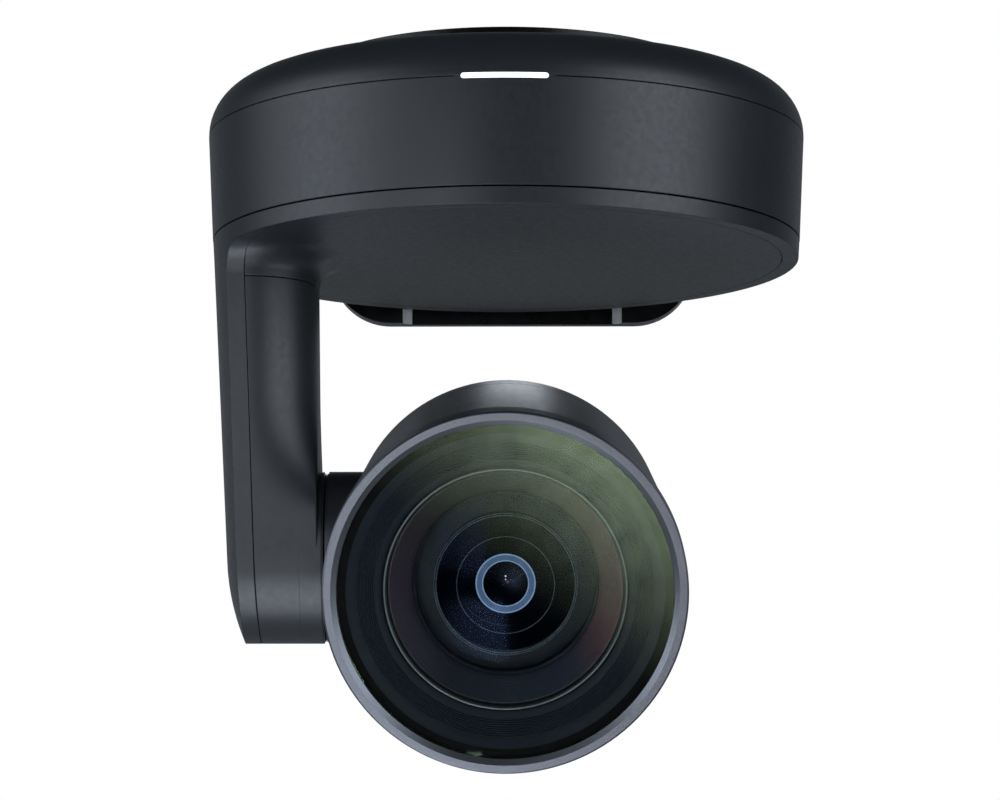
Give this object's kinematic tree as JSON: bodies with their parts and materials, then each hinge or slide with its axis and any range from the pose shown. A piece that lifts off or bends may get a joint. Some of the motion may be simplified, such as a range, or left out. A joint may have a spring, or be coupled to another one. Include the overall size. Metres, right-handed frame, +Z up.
{
  "type": "ptz camera",
  "caption": "Round-bodied pan-tilt-zoom conference camera hung upside down under an L-shaped wall bracket, with one side arm carrying a drum-shaped lens head.",
  "frame": {"origin": "centre of the wall bracket's bolt pattern, on its wall face", "axes": "+Y into the wall; +Z up as hung; the lens looks towards -Y at rest; the arm is on the -X side"},
  "size_m": [0.154, 0.161, 0.19],
  "materials": {
    "shell_plastic": "fine satin charcoal",
    "bracket_black": "black powder coat",
    "ring_metal": "bead-blasted, anodised blue-grey",
    "inner_black": "matt black moulding",
    "lens_bezel_metal": "fine-turned, dark grey-blue",
    "cover_glass": "coated, clear",
    "lens_glass": "multi-coated",
    "light_diffuser": "white, lit from behind",
    "steel": "satin",
    "cast_alloy": "as cast",
    "brass": "turned",
    "gear_plastic": "natural acetal",
    "circuit_board": "solder mask",
    "foot_rubber": "matt"
  },
  "bodies": {
    "base": {"wall_bracket": "bracket_black", "bracket_screw": "steel", "rubber_foot": "foot_rubber", "thread_insert": "brass", "base_cover": "shell_plastic", "side_band": "shell_plastic", "light_bar": "light_diffuser", "light_board": "circuit_board", "chassis": "cast_alloy", "outer_race": "steel", "pan_motor": "steel", "main_board": "circuit_board", "port_bay": "inner_black", "port_board": "circuit_board", "signal_sockets": "steel", "power_socket": "inner_black", "base_screws": "steel"},
    "platform": {"platform_cover": "shell_plastic", "underside_cover": "shell_plastic", "arm_inner_cover": "shell_plastic", "turntable": "cast_alloy", "inner_race": "steel", "pan_gear": "gear_plastic", "gear_clip": "steel", "arm_frame": "cast_alloy", "tilt_motor": "steel", "tilt_bush": "brass", "arm_ribbon": "inner_black", "foot_screws": "steel"},
    "bearing_cage": {"ball_cage": "steel"},
    "pan_drive": {"pan_pinion": "steel"},
    "tilt_drive": {"tilt_pinion": "steel"},
    "head": {"head_shell": "shell_plastic", "head_cap": "shell_plastic", "tilt_shaft": "steel", "tilt_gear": "gear_plastic", "hood_ring": "ring_metal", "cover_glass": "cover_glass", "ribbed_baffle": "inner_black", "retaining_ring": "inner_black", "lens_bezel": "lens_bezel_metal", "lens_barrel": "inner_black", "lens_mount": "cast_alloy", "front_element": "lens_glass", "second_element": "lens_glass", "spacer_ring": "inner_black", "guide_rods": "steel", "lens_motors": "steel", "iris": "inner_black", "sensor_plate": "cast_alloy", "sensor_board": "circuit_board", "heat_sink": "cast_alloy", "flange_screws": "steel"},
    "zoom_group": {"zoom_carriage": "inner_black", "zoom_element": "lens_glass"},
    "focus_group": {"focus_carriage": "inner_black", "focus_element": "lens_glass"},
    "zoom_drive": {"zoom_screw": "steel"},
    "focus_drive": {"focus_screw": "steel"},
    "button": {"reset_button": "inner_black"}
  },
  "joints": [
    {"name": "pan", "type": "hinge", "parent": "base", "child": "platform", "pos_m": [0, -0.084, -0.023], "axis": [0, 0, 1], "range_deg": [-90, 90]},
    {"name": "bearing_roll", "type": "hinge", "parent": "base", "child": "bearing_cage", "pos_m": [0, -0.084, -0.015], "axis": [0, 0, 1], "range_deg": [-43, 43]},
    {"name": "pan_pinion_spin", "type": "hinge", "parent": "base", "child": "pan_drive", "pos_m": [0.02548, -0.10948, -0.007], "axis": [0, 0, 1], "range_deg": [-452, 452]},
    {"name": "tilt", "type": "hinge", "parent": "platform", "child": "head", "pos_m": [0, -0.084, -0.1029], "axis": [1, 0, 0], "range_deg": [-106.4, 33.6]},
    {"name": "tilt_pinion_spin", "type": "hinge", "parent": "platform", "child": "tilt_drive", "pos_m": [-0.0636, -0.084, -0.08187], "axis": [1, 0, 0], "range_deg": [-86, 266]},
    {"name": "zoom", "type": "slide", "parent": "head", "child": "zoom_group", "axis": [0, -0.9593, -0.2823], "range_m": [-0.004, 0.004]},
    {"name": "zoom_screw_spin", "type": "hinge", "parent": "head", "child": "zoom_drive", "pos_m": [0.0083, -0.08806, -0.08911], "axis": [0, -0.9593, -0.2823], "range_deg": [-482, 482]},
    {"name": "focus", "type": "slide", "parent": "head", "child": "focus_group", "axis": [0, -0.9593, -0.2823], "range_m": [-0.0025, 0.0025]},
    {"name": "focus_screw_spin", "type": "hinge", "parent": "head", "child": "focus_drive", "pos_m": [0.0083, -0.07994, -0.11669], "axis": [0, -0.9593, -0.2823], "range_deg": [-302, 302]},
    {"name": "reset_press", "type": "slide", "parent": "base", "child": "button", "axis": [0, -1, 0], "range_m": [0, 0.0008], "stiffness_N_per_m": 900, "springref_m": -0.001}
  ],
  "couplings": [
    {"joint": "bearing_roll", "follows": "pan", "ratio": 0.4703},
    {"joint": "pan_pinion_spin", "follows": "pan", "ratio": -5},
    {"joint": "tilt_pinion_spin", "follows": "tilt", "ratio": -2.5},
    {"joint": "zoom_screw_spin", "follows": "zoom", "rad_per_m": 2094.4},
    {"joint": "focus_screw_spin", "follows": "focus", "rad_per_m": 2094.4}
  ]
}
